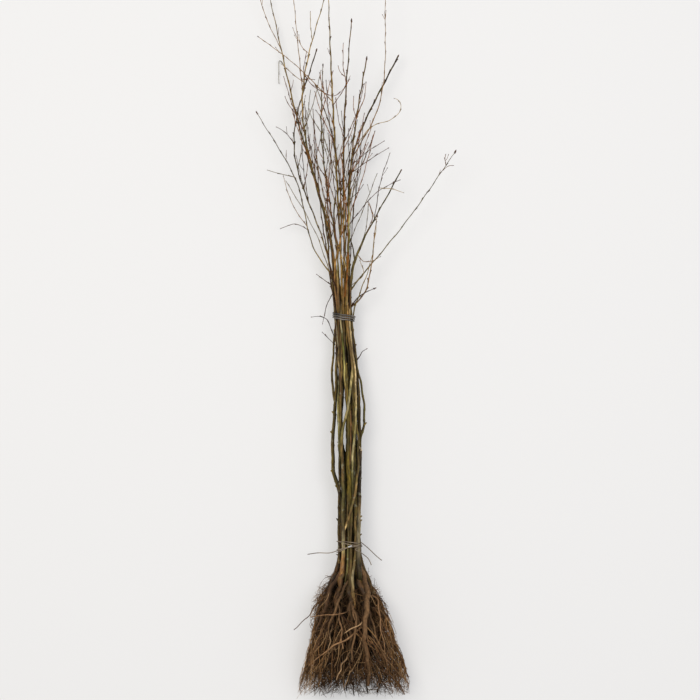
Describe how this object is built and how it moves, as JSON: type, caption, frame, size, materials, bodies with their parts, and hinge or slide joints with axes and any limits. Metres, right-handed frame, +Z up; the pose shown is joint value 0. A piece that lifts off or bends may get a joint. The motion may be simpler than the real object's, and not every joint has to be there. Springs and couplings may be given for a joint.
{
  "type": "bare-rooted oak whip bundle",
  "caption": "Bundle of bare-rooted oak whips lying down, tied with wire, with slender stems, upright bare winter twigs at one end and a spreading skirt of roots at the other.",
  "frame": {"origin": "on the floor, under the middle of the lying bundle's box", "axes": "+Y along the bundle from the roots to the tips of the twigs, +X to the right as the picture's viewer sees it, +Z up from the floor, towards the side that faces the picture's viewer"},
  "size_m": [0.6203, 2.2358, 0.2657],
  "materials": {
    "bark": "smooth young bark, satin",
    "twigs": "smooth bare twigs, satin",
    "roots": "matt root bark",
    "wire": "dull galvanised wire"
  },
  "bodies": {
    "root": {"stem_01": "bark", "stem_02": "bark", "stem_03": "bark", "stem_04": "bark", "stem_05": "bark", "stem_06": "bark", "stem_07": "bark", "stem_08": "bark", "stem_09": "bark", "stem_10": "bark", "bough_left": "bark", "bough_right": "bark", "bough_low_right": "bark", "bough_low_left": "bark", "bough_low_front": "bark", "bough_low_middle": "bark", "bough_low_back": "bark", "crown_01": "twigs", "crown_02": "twigs", "crown_03": "twigs", "crown_04": "twigs", "crown_05": "twigs", "crown_06": "twigs", "crown_07": "twigs", "crown_08": "twigs", "crown_09": "twigs", "crown_10": "twigs", "crown_left": "twigs", "crown_right": "twigs", "roots_01": "roots", "roots_02": "roots", "roots_03": "roots", "roots_04": "roots", "roots_05": "roots", "roots_06": "roots", "roots_07": "roots", "roots_08": "roots", "roots_09": "roots", "roots_10": "roots", "upper_tie": "wire", "lower_tie": "wire", "lower_tie_second": "wire"}
  },
  "joints": []
}
